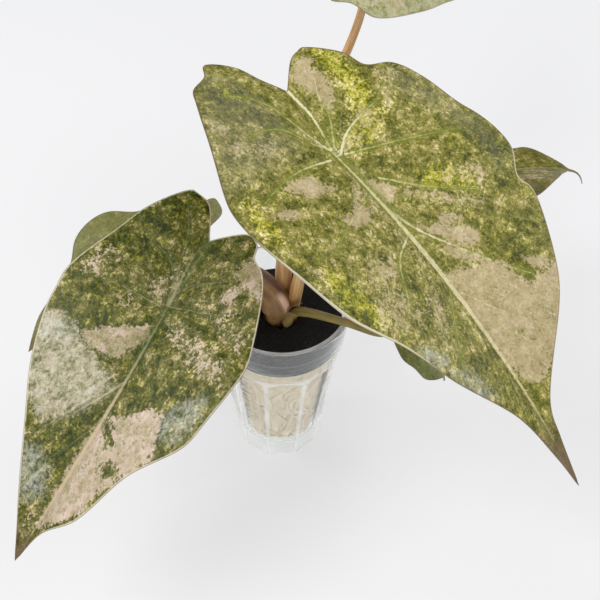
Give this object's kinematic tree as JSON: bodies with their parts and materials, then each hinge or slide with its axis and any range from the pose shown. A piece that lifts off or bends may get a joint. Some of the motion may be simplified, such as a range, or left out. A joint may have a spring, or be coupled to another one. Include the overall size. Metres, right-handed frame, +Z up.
{
  "type": "potted variegated alocasia wentii",
  "caption": "Potted alocasia with variegated shield-shaped leaves on long stalks, held by a black foam collar in a faceted glass tumbler filled with root fibre.",
  "frame": {"origin": "centre of the tumbler's flat underside", "axes": "+Z up along the tumbler's axis; the two largest leaves face -Y; +X to the right of someone facing them"},
  "size_m": [0.3371, 0.4274, 0.3687],
  "materials": {
    "clear_glass": "gloss",
    "black_foam": "matte",
    "root_fibre": "matte",
    "variegated_leaf": "satin",
    "old_leaf": "satin",
    "tan_stalk": "satin",
    "brown_sheath": "satin",
    "olive_stalk": "satin",
    "papery_scale": "matte"
  },
  "bodies": {
    "root": {"tumbler": "clear_glass", "foam_collar": "black_foam", "root_ball": "root_fibre", "rootstock": "brown_sheath", "blade_front_right": "variegated_leaf", "stalk_front_right": "tan_stalk", "blade_front_left": "variegated_leaf", "stalk_front_left": "brown_sheath", "blade_rear_top": "variegated_leaf", "stalk_rear_top": "tan_stalk", "blade_rear_right": "variegated_leaf", "stalk_rear_right": "tan_stalk", "blade_rear_left": "variegated_leaf", "stalk_rear_left": "tan_stalk", "blade_low_right": "old_leaf", "stalk_low_right": "olive_stalk", "papery_scale": "papery_scale"}
  },
  "joints": []
}
